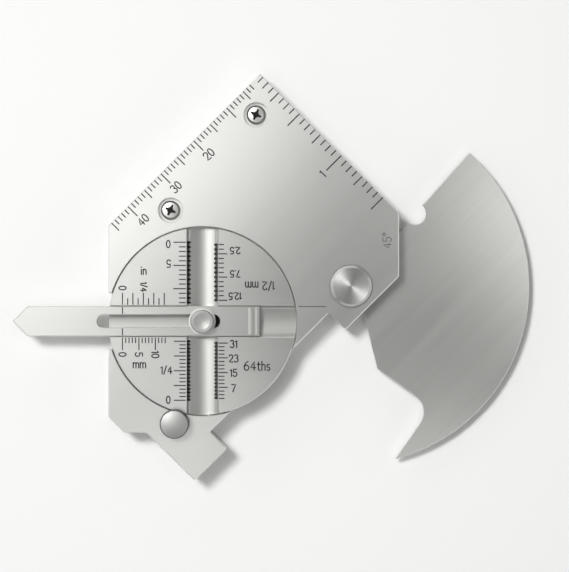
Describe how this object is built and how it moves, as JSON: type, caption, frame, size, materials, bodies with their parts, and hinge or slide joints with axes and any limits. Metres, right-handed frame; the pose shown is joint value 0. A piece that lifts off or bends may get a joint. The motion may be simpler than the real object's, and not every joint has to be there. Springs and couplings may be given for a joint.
{
  "type": "weld gauge",
  "caption": "Flat steel weld gauge: plates on two bridge feet, a round dial with a slotted sliding pointer, and a claw-tipped cam that swings out between the plates.",
  "frame": {"origin": "on the dial's axis, at the back face", "axes": "+X along the bridge from the left foot to the right foot, +Y away from the work, +Z out of the graduated face"},
  "size_m": [0.0957, 0.085, 0.0095],
  "materials": {
    "face_steel": "satin",
    "back_steel": "satin",
    "dial_steel": "fine brushed",
    "pointer_steel": "fine brushed",
    "cam_steel": "brushed",
    "turned_steel": "turned",
    "screw_steel": "bright",
    "knob_steel": "polished",
    "inner_steel": "plain",
    "bush_brass": "plain"
  },
  "bodies": {
    "body": {"body_plate": "face_steel", "back_plate": "back_steel", "spacer_sleeves": "inner_steel", "cover_screws": "screw_steel", "cam_pivot_screw": "turned_steel", "cam_pivot_nut": "inner_steel", "cam_washer_front": "inner_steel", "cam_washer_back": "inner_steel", "disc_pivot_bush": "bush_brass", "lock_standoff": "inner_steel"},
    "cam": {"cam_segment": "cam_steel"},
    "dial": {"dial_disc": "dial_steel"},
    "pointer": {"pointer_slide": "pointer_steel"},
    "thumb_screw": {"slide_thumb_screw": "turned_steel", "thumb_washer": "screw_steel"},
    "lock_screw": {"lock_screw": "knob_steel"}
  },
  "joints": [
    {"name": "cam_swing", "type": "hinge", "parent": "body", "child": "cam", "pos_m": [0.028, -0.0173, 0], "axis": [0, 0, 1], "continuous": true},
    {"name": "dial_turn", "type": "hinge", "parent": "body", "child": "dial", "pos_m": [0, 0, 0], "axis": [0, 0, 1], "range_deg": [-7, 7]},
    {"name": "pointer_travel", "type": "slide", "parent": "dial", "child": "pointer", "axis": [-0.7071, 0.7071, 0], "range_m": [-0.0074, 0.0024]},
    {"name": "thumb_screw_turn", "type": "hinge", "parent": "body", "child": "thumb_screw", "pos_m": [0, 0, 0], "axis": [0, 0, 1], "range_deg": [0, 360]},
    {"name": "lock_screw_turn", "type": "hinge", "parent": "body", "child": "lock_screw", "pos_m": [-0.0197, -0.01137, 0], "axis": [0, 0, 1], "range_deg": [0, 360]}
  ]
}
